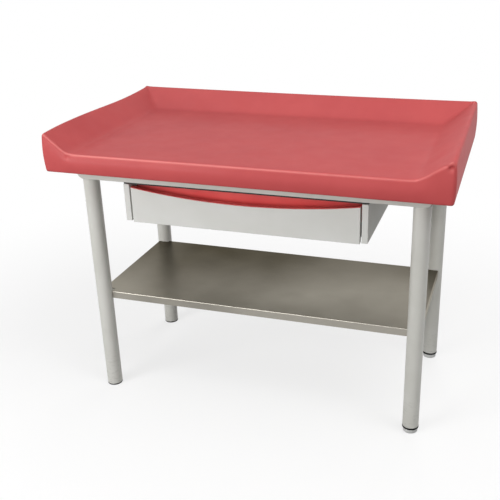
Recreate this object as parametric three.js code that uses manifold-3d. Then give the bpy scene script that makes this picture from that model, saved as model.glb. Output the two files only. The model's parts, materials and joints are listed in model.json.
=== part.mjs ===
// Examination table for small children: a one-piece upholstered top with raised
// left, right and rear sides, a steel frame on four round legs, a drawer hung
// under the frame and a folded stainless shelf between the legs.
// Millimetres, +Z up, +X along the length, -Y towards the user and the drawer.
// The origin is on the floor under the middle of the top.

import * as THREE from 'three';
import { mergeVertices, toCreasedNormals } from 'three/addons/utils/BufferGeometryUtils.js';
import Module from 'manifold-3d';

const wasm = await Module();
wasm.setup();

// Clearances and tolerances
const seat_gap = 0.3;
const merge_tolerance = 0.0005;
const crease_angle = Math.PI / 5;

// Frame of rectangular tube, laid flat
const rail_underside = 743;
const rail_height = 38;
const rail_width = 60;
const rail_wall = 2;
const rail_edge_radius = 3;
const rail_end_radius = 20;
const rail_spigot_length = 15;
const overhang_ends = 59;
const overhang_front = 65;
const overhang_rear = 105;

// Legs of round tube and what closes them at the floor
const leg_diameter = 50;
const leg_wall = 2;
const leg_segments = 32;
const ring_height = 5;
const plug_length = 26;
const plug_chamfer = 1.5;
const foot_height = 14.4;
const foot_diameter = 45;
const foot_edge = 2.5;
const stud_diameter = 10;
const stud_clearance = 0.5;
const stud_length = 38;

// Upholstered top
const pad_length = 1200;
const pad_width = 694;
const mattress_thickness = 58.7;
const bolster_rise = 60;
const bolster_base_left = 80;
const bolster_base_right = 100;
const bolster_base_rear = 90;
const pad_edge_radius = 12;
const pad_under_radius = 7;
const pad_side_bulge = 5;
const mattress_crown = 3;
const crease_softness = 9;
const crest_dip = 2.5;
const board_thickness = 14;
const board_inset = 16;
const round_shares = [0, 0.134, 0.5, 1];
const slope_shares = [0.3, 0.6, 0.86, 1, 1.15];
const side_level_shares = [0.78, 0.5, 0.22];
const bay_steps_x = 7;
const bay_steps_y = 5;

// Folded stainless shelf and the lugs that carry it
const shelf_top = 350;
const shelf_sheet = 2;
const shelf_lip = 24;
const shelf_end_reach = 13;
const shelf_front_reach = 2;
const shelf_rear_reach = 14;
const lug_thickness = 4;
const lug_reach_x = 62;
const lug_reach_y = 46;
const lug_margin = 3;

// Drawer housing under the frame
const housing_from_leg_left = 101;
const housing_from_leg_right = 119;
const housing_side = 18;
const housing_height = 116.5;
const hanger_thickness = 4.4;
const housing_back_thickness = 16;

// Drawer
const front_gap = 5;
const front_thickness = 18;
const front_drop = 3.5;
const front_corner_gap = 10;
const front_dip = 27;
const front_segments = 24;
const box_rear_space = 40;
const box_wall = 12;
const box_floor = 6;
const box_floor_lift = 6;
const box_lift = 6.5;
const box_side_height = 85;
const grip_depth = 24;
const grip_clearance = 4;
const grip_sheet = 2.5;
const grip_radius = 11;
const grip_lip = 5;
const grip_top_gap = 5;

// Telescopic drawer runners
const runner_space = 13.3;
const runner_height = 40;
const runner_lift = 4;
const runner_sheet = 1.2;
const runner_play = 0.6;
const runner_tip_gap = 1.1;
const runner_setback = 6;

// Colours
const look = {
  cover: { color: 0xb8494a, roughness: 0.5, metalness: 0 },
  board: { color: 0xb59a6d, roughness: 0.8, metalness: 0 },
  paint: { color: 0xcdcbc4, roughness: 0.42, metalness: 0.05 },
  steel: { color: 0x8f8a80, roughness: 0.36, metalness: 1 },
  black: { color: 0x1c1c1c, roughness: 0.6, metalness: 0 },
  foot: { color: 0x9c9b98, roughness: 0.55, metalness: 0 },
  grip: { color: 0xc4383c, roughness: 0.38, metalness: 0 },
  hanger: { color: 0x26241f, roughness: 0.6, metalness: 0.1 },
  box: { color: 0xd6d4ce, roughness: 0.5, metalness: 0 },
  zinc: { color: 0xb4b6b8, roughness: 0.34, metalness: 0.9 },
};

// Values worked out from the sizes above
const leg_radius = leg_diameter / 2;
const rail_half = rail_width / 2;
const frame_top = rail_underside + rail_height;
const frame_end = pad_length / 2 - overhang_ends;
const frame_front = overhang_front - pad_width / 2;
const frame_rear = pad_width / 2 - overhang_rear;
const leg_x = frame_end - rail_half;
const leg_front_y = frame_front + rail_half;
const leg_rear_y = frame_rear - rail_half;
const pad_bottom = frame_top + seat_gap;
const housing_top = rail_underside - seat_gap - hanger_thickness - seat_gap;
const housing_bottom = housing_top - housing_height;
const housing_left = -leg_x + leg_radius + housing_from_leg_left;
const housing_right = leg_x - leg_radius - housing_from_leg_right;
const housing_rear = frame_rear - rail_width + housing_back_thickness;
const bay_left = housing_left + housing_side;
const bay_right = housing_right - housing_side;
const front_back = frame_front + front_thickness;
const box_left = bay_left + runner_space;
const box_right = bay_right - runner_space;
const box_front = front_back + seat_gap;
const box_rear = housing_rear - housing_back_thickness - box_rear_space;
const box_bottom = housing_bottom + box_lift;
const runner_bottom = box_bottom + runner_lift;
const grip_bottom = runner_bottom + runner_height + grip_clearance;

const model = new THREE.Group();

function place(name, geometry, finish) {
  const material = new THREE.MeshStandardMaterial(finish);
  const mesh = new THREE.Mesh(toCreasedNormals(geometry, crease_angle), material);
  mesh.name = name;
  model.add(mesh);
}

// A closed surface with shared corners, no empty triangles and faces outward
function closed(geometry) {
  geometry.deleteAttribute('normal');
  geometry.deleteAttribute('uv');
  const merged = mergeVertices(geometry, merge_tolerance);
  const source = merged.index.array;
  const point = merged.attributes.position;
  const corner = [new THREE.Vector3(), new THREE.Vector3(), new THREE.Vector3()];
  const kept = [];
  let volume = 0;
  for (let i = 0; i < source.length; i += 3) {
    const [a, b, c] = [source[i], source[i + 1], source[i + 2]];
    if (a === b || b === c || c === a) continue;
    kept.push(a, b, c);
    [a, b, c].forEach((index, k) => corner[k].fromBufferAttribute(point, index));
    volume += corner[0].dot(corner[1].clone().cross(corner[2]));
  }
  if (volume < 0) {
    for (let i = 0; i < kept.length; i += 3) {
      [kept[i + 1], kept[i + 2]] = [kept[i + 2], kept[i + 1]];
    }
  }
  merged.setIndex(kept);
  return merged;
}

function toManifold(geometry) {
  const shape = closed(geometry);
  return new wasm.Manifold(new wasm.Mesh({
    numProp: 3,
    vertProperties: new Float32Array(shape.attributes.position.array),
    triVerts: new Uint32Array(shape.index.array),
  }));
}

function fromManifold(manifold) {
  const mesh = manifold.getMesh();
  const geometry = new THREE.BufferGeometry();
  geometry.setAttribute('position', new THREE.BufferAttribute(mesh.vertProperties, 3));
  geometry.setIndex(new THREE.BufferAttribute(mesh.triVerts, 1));
  return geometry;
}

function joined(...geometries) {
  const [first, ...rest] = geometries.map(toManifold);
  return fromManifold(rest.reduce((sum, part) => sum.add(part), first));
}

function box(x0, x1, y0, y1, z0, z1) {
  const geometry = new THREE.BoxGeometry(x1 - x0, y1 - y0, z1 - z0);
  geometry.translate((x0 + x1) / 2, (y0 + y1) / 2, (z0 + z1) / 2);
  return closed(geometry);
}

// A section in (y, z) drawn out along X
function alongX(section, x0, x1, curveSegments = 4) {
  const options = { depth: x1 - x0, bevelEnabled: false, curveSegments };
  const geometry = new THREE.ExtrudeGeometry(section, options);
  const [x, y, z] = [[1, 0, 0], [0, 1, 0], [0, 0, 1]].map((v) => new THREE.Vector3(...v));
  geometry.applyMatrix4(new THREE.Matrix4().makeBasis(y, z, x));
  geometry.translate(x0, 0, 0);
  return closed(geometry);
}

// A section in (x, z) drawn out along Y
function alongY(section, y0, y1, curveSegments = 4) {
  const options = { depth: y1 - y0, bevelEnabled: false, curveSegments };
  const geometry = new THREE.ExtrudeGeometry(section, options);
  geometry.rotateX(Math.PI / 2);
  geometry.translate(0, y1, 0);
  return closed(geometry);
}

// An outline in (x, y) drawn out along Z
function alongZ(outline, z0, z1, curveSegments = 6) {
  const options = { depth: z1 - z0, bevelEnabled: false, curveSegments };
  const geometry = new THREE.ExtrudeGeometry(outline, options);
  geometry.translate(0, 0, z0);
  return closed(geometry);
}

function polygon(points) {
  return new THREE.Shape(points.map(([a, b]) => new THREE.Vector2(a, b)));
}

// A profile of [radius, height] pairs turned about a vertical axis
function turned(profile, x, y) {
  const points = profile.map(([r, h]) => new THREE.Vector2(r, h));
  const geometry = new THREE.LatheGeometry(points, leg_segments);
  geometry.rotateX(Math.PI / 2);
  geometry.translate(x, y, 0);
  return closed(geometry);
}

function roundedRectangle(a0, a1, b0, b1, radius, Outline = THREE.Shape) {
  const outline = new Outline();
  outline.moveTo(a0 + radius, b0);
  outline.lineTo(a1 - radius, b0);
  outline.absarc(a1 - radius, b0 + radius, radius, -Math.PI / 2, 0, false);
  outline.lineTo(a1, b1 - radius);
  outline.absarc(a1 - radius, b1 - radius, radius, 0, Math.PI / 2, false);
  outline.lineTo(a0 + radius, b1);
  outline.absarc(a0 + radius, b1 - radius, radius, Math.PI / 2, Math.PI, false);
  outline.lineTo(a0, b0 + radius);
  outline.absarc(a0 + radius, b0 + radius, radius, Math.PI, Math.PI * 1.5, false);
  return outline;
}

// Rectangular tube section, open through its middle
function tubeSection(a0, a1, b0, b1) {
  const section = roundedRectangle(a0, a1, b0, b1, rail_edge_radius);
  const bore_radius = rail_edge_radius - rail_wall;
  const bore = [a0 + rail_wall, a1 - rail_wall, b0 + rail_wall, b1 - rail_wall];
  section.holes.push(roundedRectangle(...bore, bore_radius, THREE.Path));
  return section;
}

function buildRails() {
  const end = frame_end - rail_end_radius;
  for (const [name, y0] of [['front', frame_front], ['rear', frame_rear - rail_width]]) {
    const y1 = y0 + rail_width;
    const section = tubeSection(y0, y1, rail_underside, frame_top);
    place(`rail_${name}`, alongX(section, -end, end), look.paint);
    placeRailCap(`rail_cap_${name}_left`, -1, y0, y1, end);
    placeRailCap(`rail_cap_${name}_right`, 1, y0, y1, end);
  }
  const side_y0 = leg_front_y + rail_half + seat_gap;
  const side_y1 = leg_rear_y - rail_half - seat_gap;
  for (const [name, x0] of [['left', -frame_end], ['right', frame_end - rail_width]]) {
    const section = tubeSection(x0, x0 + rail_width, rail_underside, frame_top);
    place(`rail_${name}`, alongY(section, side_y0, side_y1), look.paint);
  }
}

// End cap of a rail: full size outside the tube with its lower corner rounded,
// and a spigot that fills the bore
function placeRailCap(name, side, y0, y1, tube_end) {
  const inner = tube_end + seat_gap;
  const radius = rail_end_radius - seat_gap;
  const face = new THREE.Shape();
  face.moveTo(side * inner, rail_underside);
  face.absarc(side * inner, rail_underside + radius, radius,
    -Math.PI / 2, side > 0 ? 0 : -Math.PI, side < 0);
  face.lineTo(side * (inner + radius), frame_top);
  face.lineTo(side * inner, frame_top);
  const head = alongY(face, y0, y1, 6);
  const fit = rail_wall + seat_gap;
  const reach = [side * (inner - rail_spigot_length), side * (inner + fit)].sort((a, b) => a - b);
  const spigot = box(...reach, y0 + fit, y1 - fit, rail_underside + fit, frame_top - fit);
  place(name, joined(head, spigot), look.paint);
}

function legTube(x, y, bottom) {
  const bore = leg_radius - leg_wall;
  const top = rail_underside - seat_gap;
  return turned([
    [bore, bottom], [leg_radius, bottom], [leg_radius, top], [bore, top], [bore, bottom],
  ], x, y);
}

// Left legs stand on plain plugs, right legs on screw-in levelling feet
function buildLegs() {
  const plug_radius = leg_radius - leg_wall - seat_gap;
  const stud_radius = stud_diameter / 2;
  const hole = stud_radius + stud_clearance;
  const foot_radius = foot_diameter / 2;
  for (const [row, y] of [['front', leg_front_y], ['rear', leg_rear_y]]) {
    place(`leg_${row}_left`, legTube(-leg_x, y, ring_height + seat_gap), look.paint);
    place(`plug_${row}_left`, turned([
      [0, 0], [leg_radius - plug_chamfer, 0], [leg_radius, plug_chamfer], [leg_radius, ring_height],
      [plug_radius, ring_height], [plug_radius, plug_length], [0, plug_length],
    ], -leg_x, y), look.black);
    const ring_bottom = foot_height + seat_gap;
    const ring_top = ring_bottom + ring_height;
    place(`leg_${row}_right`, legTube(leg_x, y, ring_top + seat_gap), look.paint);
    place(`insert_${row}_right`, turned([
      [hole, ring_bottom], [leg_radius, ring_bottom], [leg_radius, ring_top], [plug_radius, ring_top],
      [plug_radius, ring_bottom + plug_length], [hole, ring_bottom + plug_length], [hole, ring_bottom],
    ], leg_x, y), look.black);
    place(`foot_${row}_right`, turned([
      [0, 0], [foot_radius - foot_edge, 0], [foot_radius, foot_edge], [foot_radius, foot_height],
      [stud_radius, foot_height], [stud_radius, foot_height + stud_length],
      [0, foot_height + stud_length],
    ], leg_x, y), look.foot);
  }
}

// Distances from an edge at which the top surface has a row of points
function edgeStations(base) {
  const round = round_shares.map((share) => share * pad_edge_radius);
  const slope = slope_shares.map((share) => pad_edge_radius + share * (base - pad_edge_radius));
  return base > 0 ? [...round, ...slope] : round;
}

function spread(from, to, steps) {
  return Array.from({ length: steps }, (_, i) => from + ((to - from) * (i + 1)) / (steps + 1));
}

function stations(size, low_base, high_base, steps) {
  const low = edgeStations(low_base).map((d) => d - size / 2);
  const high = edgeStations(high_base).map((d) => size / 2 - d).reverse();
  return [...low, ...spread(low[low.length - 1], high[0], steps), ...high];
}

// The larger of two heights, rounded where they cross like stretched cover
function softMax(a, b) {
  return (a + b + Math.hypot(a - b, crease_softness)) / 2;
}

// Height of one raised side at a distance from its outer edge
function bolster(distance, base, along_share) {
  const rise = bolster_rise - crest_dip * Math.sin(Math.PI * along_share);
  const slope = (base - distance) / (base - pad_edge_radius);
  return rise * Math.min(slope, 1);
}

// Height of the top surface over the underside, before the edges are rounded
function padHeight(x, y) {
  const share_x = x / pad_length + 1 / 2;
  const share_y = y / pad_width + 1 / 2;
  const left = bolster(pad_length / 2 + x, bolster_base_left, share_y);
  const right = bolster(pad_length / 2 - x, bolster_base_right, share_y);
  const rear = bolster(pad_width / 2 - y, bolster_base_rear, share_x);
  const crown = mattress_crown * Math.sin(Math.PI * share_x) * Math.sin(Math.PI * share_y);
  return mattress_thickness + softMax(Math.max(left, right, rear), 0) + crown;
}

// A grid point of the top: drawn in at the rounded corners and edges
function padPoint(x, y) {
  const half_x = pad_length / 2 - pad_edge_radius;
  const half_y = pad_width / 2 - pad_edge_radius;
  const over_x = Math.max(Math.abs(x) - half_x, 0);
  const over_y = Math.max(Math.abs(y) - half_y, 0);
  const reach = Math.max(over_x, over_y);
  const length = Math.hypot(over_x, over_y);
  const normal = length > 0
    ? new THREE.Vector2((Math.sign(x) * over_x) / length, (Math.sign(y) * over_y) / length)
    : new THREE.Vector2();
  const inner_x = Math.sign(x) * (Math.abs(x) - over_x);
  const inner_y = Math.sign(y) * (Math.abs(y) - over_y);
  const drop = pad_edge_radius - Math.sqrt(pad_edge_radius ** 2 - reach ** 2);
  return {
    normal,
    point: new THREE.Vector3(inner_x + normal.x * reach, inner_y + normal.y * reach,
      pad_bottom + padHeight(x, y) - drop),
  };
}

// Rings of the side wall below one shoulder point, from top to underside, and
// on into the recess for the board
function padSide({ point, normal }) {
  const wall = side_level_shares.map((share) => {
    const bulge = pad_side_bulge * Math.sin(Math.PI * share);
    const z = pad_bottom + pad_under_radius + share * (point.z - pad_bottom - pad_under_radius);
    return new THREE.Vector3(point.x + normal.x * bulge, point.y + normal.y * bulge, z);
  });
  const recess_x = pad_length / 2 - board_inset + seat_gap;
  const recess_y = pad_width / 2 - board_inset + seat_gap;
  const lip = new THREE.Vector3(
    THREE.MathUtils.clamp(point.x, -recess_x, recess_x),
    THREE.MathUtils.clamp(point.y, -recess_y, recess_y),
    pad_bottom,
  );
  const under = (share) => point.clone().addScaledVector(
    new THREE.Vector3(normal.x, normal.y, 0), -share * pad_under_radius);
  return [
    ...wall,
    under(0).setZ(pad_bottom + pad_under_radius),
    under(round_shares[2]).setZ(pad_bottom + pad_under_radius * round_shares[1]),
    under(1).setZ(pad_bottom),
    lip,
    lip.clone().setZ(pad_bottom + board_thickness + seat_gap),
  ];
}

// Quads whose diagonal follows the mitre between the rear and a side slope
function diagonalRises(x, y) {
  return x < 0 ? y < 0 : y >= 0;
}

function padGeometry() {
  const xs = stations(pad_length, bolster_base_left, bolster_base_right, bay_steps_x);
  const ys = stations(pad_width, 0, bolster_base_rear, bay_steps_y);
  const grid = ys.map((y) => xs.map((x) => padPoint(x, y)));
  const points = [];
  const triangles = [];
  const add = (vector) => points.push(vector) - 1;
  const top = grid.map((row) => row.map(({ point }) => add(point)));
  for (let j = 0; j + 1 < ys.length; j += 1) {
    for (let i = 0; i + 1 < xs.length; i += 1) {
      const [a, b, c, d] = [top[j][i], top[j][i + 1], top[j + 1][i + 1], top[j + 1][i]];
      if (diagonalRises(xs[i] + xs[i + 1], ys[j])) triangles.push(a, b, c, a, c, d);
      else triangles.push(a, b, d, b, c, d);
    }
  }
  const last_x = xs.length - 1;
  const last_y = ys.length - 1;
  const loop = [
    ...xs.slice(0, last_x).map((_, i) => [i, 0]),
    ...ys.slice(0, last_y).map((_, j) => [last_x, j]),
    ...xs.slice(1).map((_, i) => [last_x - i, last_y]),
    ...ys.slice(1).map((_, j) => [0, last_y - j]),
  ];
  let upper = loop.map(([i, j]) => top[j][i]);
  const columns = loop.map(([i, j]) => padSide(grid[j][i]));
  for (let level = 0; level < columns[0].length; level += 1) {
    const lower = columns.map((column) => add(column[level]));
    lower.forEach((_, k) => {
      const next = (k + 1) % lower.length;
      triangles.push(upper[k], lower[k], lower[next], upper[k], lower[next], upper[next]);
    });
    upper = lower;
  }
  const middle = add(new THREE.Vector3(0, 0, pad_bottom + board_thickness + seat_gap));
  upper.forEach((index, k) => triangles.push(middle, upper[(k + 1) % upper.length], index));
  const geometry = new THREE.BufferGeometry().setFromPoints(points);
  geometry.setIndex(triangles);
  return closed(geometry);
}

function buildTop() {
  place('pad', padGeometry(), look.cover);
  const half_x = pad_length / 2 - board_inset;
  const half_y = pad_width / 2 - board_inset;
  const board = box(-half_x, half_x, -half_y, half_y, pad_bottom, pad_bottom + board_thickness);
  place('pad_board', board, look.board);
}

// Shelf: one sheet notched around the legs, with a folded lip on each edge
function buildShelf() {
  const clear = leg_radius + seat_gap;
  const main_x = leg_x - clear;
  const end_x = leg_x + shelf_end_reach;
  const front = leg_front_y + shelf_front_reach;
  const rear = leg_rear_y - shelf_rear_reach;
  const end_front = leg_front_y + clear;
  const end_rear = leg_rear_y - clear;
  const outline = polygon([
    [-main_x, front], [main_x, front], [main_x, end_front], [end_x, end_front],
    [end_x, end_rear], [main_x, end_rear], [main_x, rear], [-main_x, rear],
    [-main_x, end_rear], [-end_x, end_rear], [-end_x, end_front], [-main_x, end_front],
  ]);
  const bottom = shelf_top - shelf_lip;
  const sheet = alongZ(outline, shelf_top - shelf_sheet, shelf_top);
  const lips = [
    box(-main_x, main_x, front, front + shelf_sheet, bottom, shelf_top),
    box(-main_x, main_x, rear - shelf_sheet, rear, bottom, shelf_top),
    box(-end_x, -end_x + shelf_sheet, end_front, end_rear, bottom, shelf_top),
    box(end_x - shelf_sheet, end_x, end_front, end_rear, bottom, shelf_top),
  ];
  place('shelf', joined(sheet, ...lips), look.steel);
  for (const end of ['left', 'right']) {
    placeLug(`shelf_lug_front_${end}`, end, leg_front_y, 1, shelf_front_reach);
    placeLug(`shelf_lug_rear_${end}`, end, leg_rear_y, -1, shelf_rear_reach);
  }
}

// Lug: a plate welded to the inner quarter of a leg, under the shelf's corner
function placeLug(name, end, y, turn, shelf_reach) {
  const radius = leg_radius + seat_gap;
  const near = shelf_reach + shelf_sheet + lug_margin;
  const outline = new THREE.Shape();
  outline.moveTo(lug_reach_x, near);
  outline.lineTo(lug_reach_x, lug_reach_y);
  outline.lineTo(lug_margin, lug_reach_y);
  outline.absarc(0, 0, radius, Math.acos(lug_margin / radius), Math.asin(near / radius), true);
  const top = shelf_top - shelf_sheet - seat_gap;
  const plate = alongZ(outline, top - lug_thickness, top);
  const side = end === 'left' ? 1 : -1;
  plate.scale(side, turn, 1);
  plate.translate(-side * leg_x, y, 0);
  place(name, closed(plate), look.paint);
}

function buildHousing() {
  const hanger_bottom = housing_top + seat_gap;
  const hanger_rear = leg_rear_y + rail_half / 2;
  place('housing_hanger', box(housing_left, housing_right, frame_front, hanger_rear,
    hanger_bottom, hanger_bottom + hanger_thickness), look.hanger);
  place('housing_side_left', box(housing_left, bay_left, frame_front, housing_rear,
    housing_bottom, housing_top), look.paint);
  place('housing_side_right', box(bay_right, housing_right, frame_front, housing_rear,
    housing_bottom, housing_top), look.paint);
  place('housing_back', box(bay_left + seat_gap, bay_right - seat_gap,
    housing_rear - housing_back_thickness, housing_rear, housing_bottom, housing_top), look.paint);
}

// Front panel whose top edge dips in an arc, so that the red grip shows over it
function drawerFrontOutline() {
  const left = bay_left + front_gap;
  const right = bay_right - front_gap;
  const bottom = housing_bottom - front_drop;
  const corner = housing_top - front_corner_gap;
  const half = (right - left) / 2;
  const radius = (half ** 2 + front_dip ** 2) / (2 * front_dip);
  const angle = Math.asin(half / radius);
  const outline = new THREE.Shape();
  outline.moveTo(left, corner);
  outline.lineTo(left, bottom);
  outline.lineTo(right, bottom);
  outline.lineTo(right, corner);
  outline.absarc((left + right) / 2, corner - front_dip + radius, radius,
    -Math.PI / 2 + angle, -Math.PI / 2 - angle, true);
  return outline;
}

// Grip: a red gutter behind the front panel, with a rounded trough for the
// fingers and a lip at its top
function gripSection() {
  const front = front_back + seat_gap;
  const rear = front + grip_depth;
  const top = housing_top - grip_top_gap;
  const base = grip_bottom;
  const section = new THREE.Shape();
  section.moveTo(front, base);
  section.lineTo(rear - grip_radius, base);
  section.absarc(rear - grip_radius, base + grip_radius, grip_radius, -Math.PI / 2, 0, false);
  section.lineTo(rear, top);
  section.lineTo(rear - grip_lip, top);
  section.lineTo(rear - grip_lip, top - grip_sheet);
  section.lineTo(rear - grip_sheet, top - grip_sheet);
  section.lineTo(rear - grip_sheet, base + grip_radius);
  section.absarc(rear - grip_radius, base + grip_radius, grip_radius - grip_sheet, 0, -Math.PI / 2, true);
  section.lineTo(front, base + grip_sheet);
  return section;
}

function buildDrawer() {
  const front_outline = drawerFrontOutline();
  place('drawer_front', alongY(front_outline, frame_front, front_back, front_segments), look.paint);
  const grip_end = front_gap + seat_gap;
  place('drawer_grip', alongX(gripSection(), bay_left + grip_end, bay_right - grip_end, 5), look.grip);
  const top = box_bottom + box_side_height;
  const step_z = grip_bottom - seat_gap;
  const step_y = box_front + grip_depth + seat_gap;
  const side = polygon([
    [box_front, box_bottom], [box_rear, box_bottom], [box_rear, top],
    [step_y, top], [step_y, step_z], [box_front, step_z],
  ]);
  place('drawer_side_left', alongX(side, box_left, box_left + box_wall), look.box);
  place('drawer_side_right', alongX(side, box_right - box_wall, box_right), look.box);
  const x0 = box_left + box_wall + seat_gap;
  const x1 = box_right - box_wall - seat_gap;
  const back_front = box_rear - box_wall;
  place('drawer_back', box(x0, x1, back_front, box_rear, box_bottom, top), look.box);
  const floor_bottom = box_bottom + box_floor_lift;
  place('drawer_floor', box(x0, x1, box_front, back_front - seat_gap,
    floor_bottom, floor_bottom + box_floor), look.box);
}

// Channel section in (x, z): a web with a flange at top and bottom
function channel(web_x, side, flange, z0, z1) {
  const web = side * runner_sheet;
  const reach = side * flange;
  return polygon([
    [web_x, z0], [web_x + reach, z0], [web_x + reach, z0 + runner_sheet],
    [web_x + web, z0 + runner_sheet], [web_x + web, z1 - runner_sheet],
    [web_x + reach, z1 - runner_sheet], [web_x + reach, z1], [web_x, z1],
  ]);
}

// Full-extension runners: the outer channel on the housing, the inner one on
// the drawer and a middle one between them that moves half as far
function buildRunners() {
  const y0 = front_back + runner_setback;
  const y1 = box_rear;
  const z0 = runner_bottom;
  const z1 = z0 + runner_height;
  const nest = runner_sheet + runner_play;
  const outer_flange = runner_space - 2 * seat_gap - runner_sheet - runner_tip_gap;
  const middle_flange = outer_flange - nest;
  const inner_flange = middle_flange;
  for (const [end, side] of [['left', 1], ['right', -1]]) {
    const wall = side > 0 ? bay_left : bay_right;
    const box_face = side > 0 ? box_left : box_right;
    const outer_web = wall + side * seat_gap;
    const middle_web = outer_web + side * nest;
    const inner_web = box_face - side * seat_gap;
    const outer = channel(outer_web, side, outer_flange, z0, z1);
    const middle = channel(middle_web, side, middle_flange, z0 + nest, z1 - nest);
    const inner = channel(inner_web, -side, inner_flange, z0 + 2 * nest, z1 - 2 * nest);
    place(`runner_outer_${end}`, alongY(outer, y0, y1), look.zinc);
    place(`runner_middle_${end}`, alongY(middle, y0, y1), look.zinc);
    place(`runner_inner_${end}`, alongY(inner, y0, y1), look.zinc);
  }
}

buildTop();
buildRails();
buildLegs();
buildShelf();
buildHousing();
buildDrawer();
buildRunners();

export default model;
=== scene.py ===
"""Looks of an examination table for small children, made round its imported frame."""
import json
import math

import bmesh
import bpy
from mathutils import Matrix, Vector


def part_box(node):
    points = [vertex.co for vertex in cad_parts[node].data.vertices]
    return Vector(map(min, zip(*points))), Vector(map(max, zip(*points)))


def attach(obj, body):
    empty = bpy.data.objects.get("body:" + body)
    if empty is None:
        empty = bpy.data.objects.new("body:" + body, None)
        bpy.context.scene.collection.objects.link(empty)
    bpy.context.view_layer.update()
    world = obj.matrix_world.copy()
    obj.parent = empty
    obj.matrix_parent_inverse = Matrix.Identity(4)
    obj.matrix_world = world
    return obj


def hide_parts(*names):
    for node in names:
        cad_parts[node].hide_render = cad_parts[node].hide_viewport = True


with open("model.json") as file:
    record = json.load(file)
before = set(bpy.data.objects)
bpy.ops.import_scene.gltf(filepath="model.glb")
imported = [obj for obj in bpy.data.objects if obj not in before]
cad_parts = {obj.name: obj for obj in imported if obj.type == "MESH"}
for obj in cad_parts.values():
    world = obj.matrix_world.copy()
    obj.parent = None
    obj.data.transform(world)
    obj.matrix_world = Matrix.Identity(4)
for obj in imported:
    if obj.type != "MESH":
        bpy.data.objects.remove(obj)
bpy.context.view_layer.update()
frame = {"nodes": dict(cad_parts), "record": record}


# ------------------------ sizes in metres

ROWS, ENDS = ("front", "rear"), ("left", "right")
SEAT_GAP = 0.0003

# Upholstered top
PAD_LENGTH = 1.208
PAD_WIDTH = 0.696
PAD_SHIFT = -0.002
PAD_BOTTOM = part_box("pad")[0].z
PAD_FRONT = -PAD_WIDTH / 2
MATTRESS = 0.0587
SIDE_RISE = 0.060
CREASE_Z = PAD_BOTTOM + MATTRESS
CREST_Z = CREASE_Z + SIDE_RISE
SLOPE_LEFT, SLOPE_RIGHT, SLOPE_REAR = 0.080, 0.100, 0.090
EDGE_ROUND = 0.010
UNDER_ROUND = 0.007
CREASE_SOFTNESS = 0.006
MITRE_SOFTNESS = 0.004
CREASE_REACH = 0.035
BOARD_INSET = 0.016
BOARD_THICKNESS = 0.014

# How far each raised side's crest waves, dips in the middle and drops at the front
LEFT_CREST, RIGHT_CREST = (0.003, 0.000, 0.003), (0.001, 0.001, 0.007)
REAR_DIP, REAR_EXTRA = 0.002, 0.004
FRONT_DROP_SHARE, REAR_RISE_SHARE, REAR_RISE_START = 0.16, 0.35, 1.857
SAG_LEFT, SAG_GROWTH = 0.002, 0.003

# Rows of the cover's mesh: coarse inside, and fine up to a reach from each edge
PAD_STEP = 0.0095
FINE_STEP = 0.005
FINE_REACH = 0.045

# Frame, drawer and feet
RAIL_ROUND = 0.003
RAIL_END_ROUND = 0.020
TUBE_SIDES = 96
LEG_RADIUS = 0.025
FOOT_RADIUS = 0.0225
STUD_RADIUS = 0.0046
RIM_SHOWN = 0.0015
HANGER_SET_BACK = 0.004
PANEL_DIP = 0.027
GRIP_LIFT = 0.0018


# ------------------------ node helpers

def linear(red, green, blue):
    """A colour as seen on screen, 0 to 255, as the linear values that nodes take."""
    shares = [value / 255 for value in (red, green, blue)]
    return (*[s / 12.92 if s <= 0.04045 else ((s + 0.055) / 1.055) ** 2.4 for s in shares], 1)


def put(tree, kind, sockets=None, **settings):
    """Adds a node, sets its properties, and sets or links its inputs."""
    node = tree.nodes.new(kind)
    for key, value in settings.items():
        setattr(node, key, value)
    for key, value in (sockets or {}).items():
        if isinstance(value, bpy.types.NodeSocket):
            tree.links.new(value, node.inputs[key])
        else:
            node.inputs[key].default_value = value
    return node


def feed(tree, inputs, **values):
    """Links values to inputs by name, and gives the tree back."""
    for label, value in values.items():
        tree.links.new(value, inputs[label])
    return tree


def sums(tree, operation, first, second, third=0.0, clamp=False):
    """One step of arithmetic, with a third value for MULTIPLY_ADD."""
    return put(tree, "ShaderNodeMath", {0: first, 1: second, 2: third},
               operation=operation, use_clamp=clamp).outputs[0]


def along_way(tree, place, way):
    """How far a place lies along a way."""
    return put(tree, "ShaderNodeVectorMath", {0: place, 1: way},
               operation="DOT_PRODUCT").outputs["Value"]


def ranged(tree, value, low, high, start, end, smooth=True):
    """A value's run from low to high, turned into one from start to end."""
    return put(tree, "ShaderNodeMapRange",
               {"Value": value, "From Min": low, "From Max": high, "To Min": start, "To Max": end},
               interpolation_type="SMOOTHSTEP" if smooth else "LINEAR").outputs["Result"]


def blended(tree, share, first, second):
    """A value between two."""
    return put(tree, "ShaderNodeMix", {"Factor": share, 2: first, 3: second}).outputs[0]


def tinted(tree, share, first, second):
    """A colour between two."""
    return put(tree, "ShaderNodeMix", {"Factor": share, 6: first, 7: second},
               data_type="RGBA").outputs[2]


def mapped(tree, place, **change):
    """A place, moved or stretched before a pattern reads it."""
    return put(tree, "ShaderNodeMapping", {"Vector": place, **change}).outputs[0]


def cloudy(tree, place, size, detail=2.0, roughness=0.5):
    """Soft noise whose patches are about one size across."""
    scale = sums(tree, "DIVIDE", 1.0, size) if isinstance(size, bpy.types.NodeSocket) else 1 / size
    return put(tree, "ShaderNodeTexNoise", {"Vector": place, "Scale": scale, "Detail": detail,
                                            "Roughness": roughness}).outputs["Fac"]


SOCKETS = {float: "Float", int: "Int", tuple: "Vector"}


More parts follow.
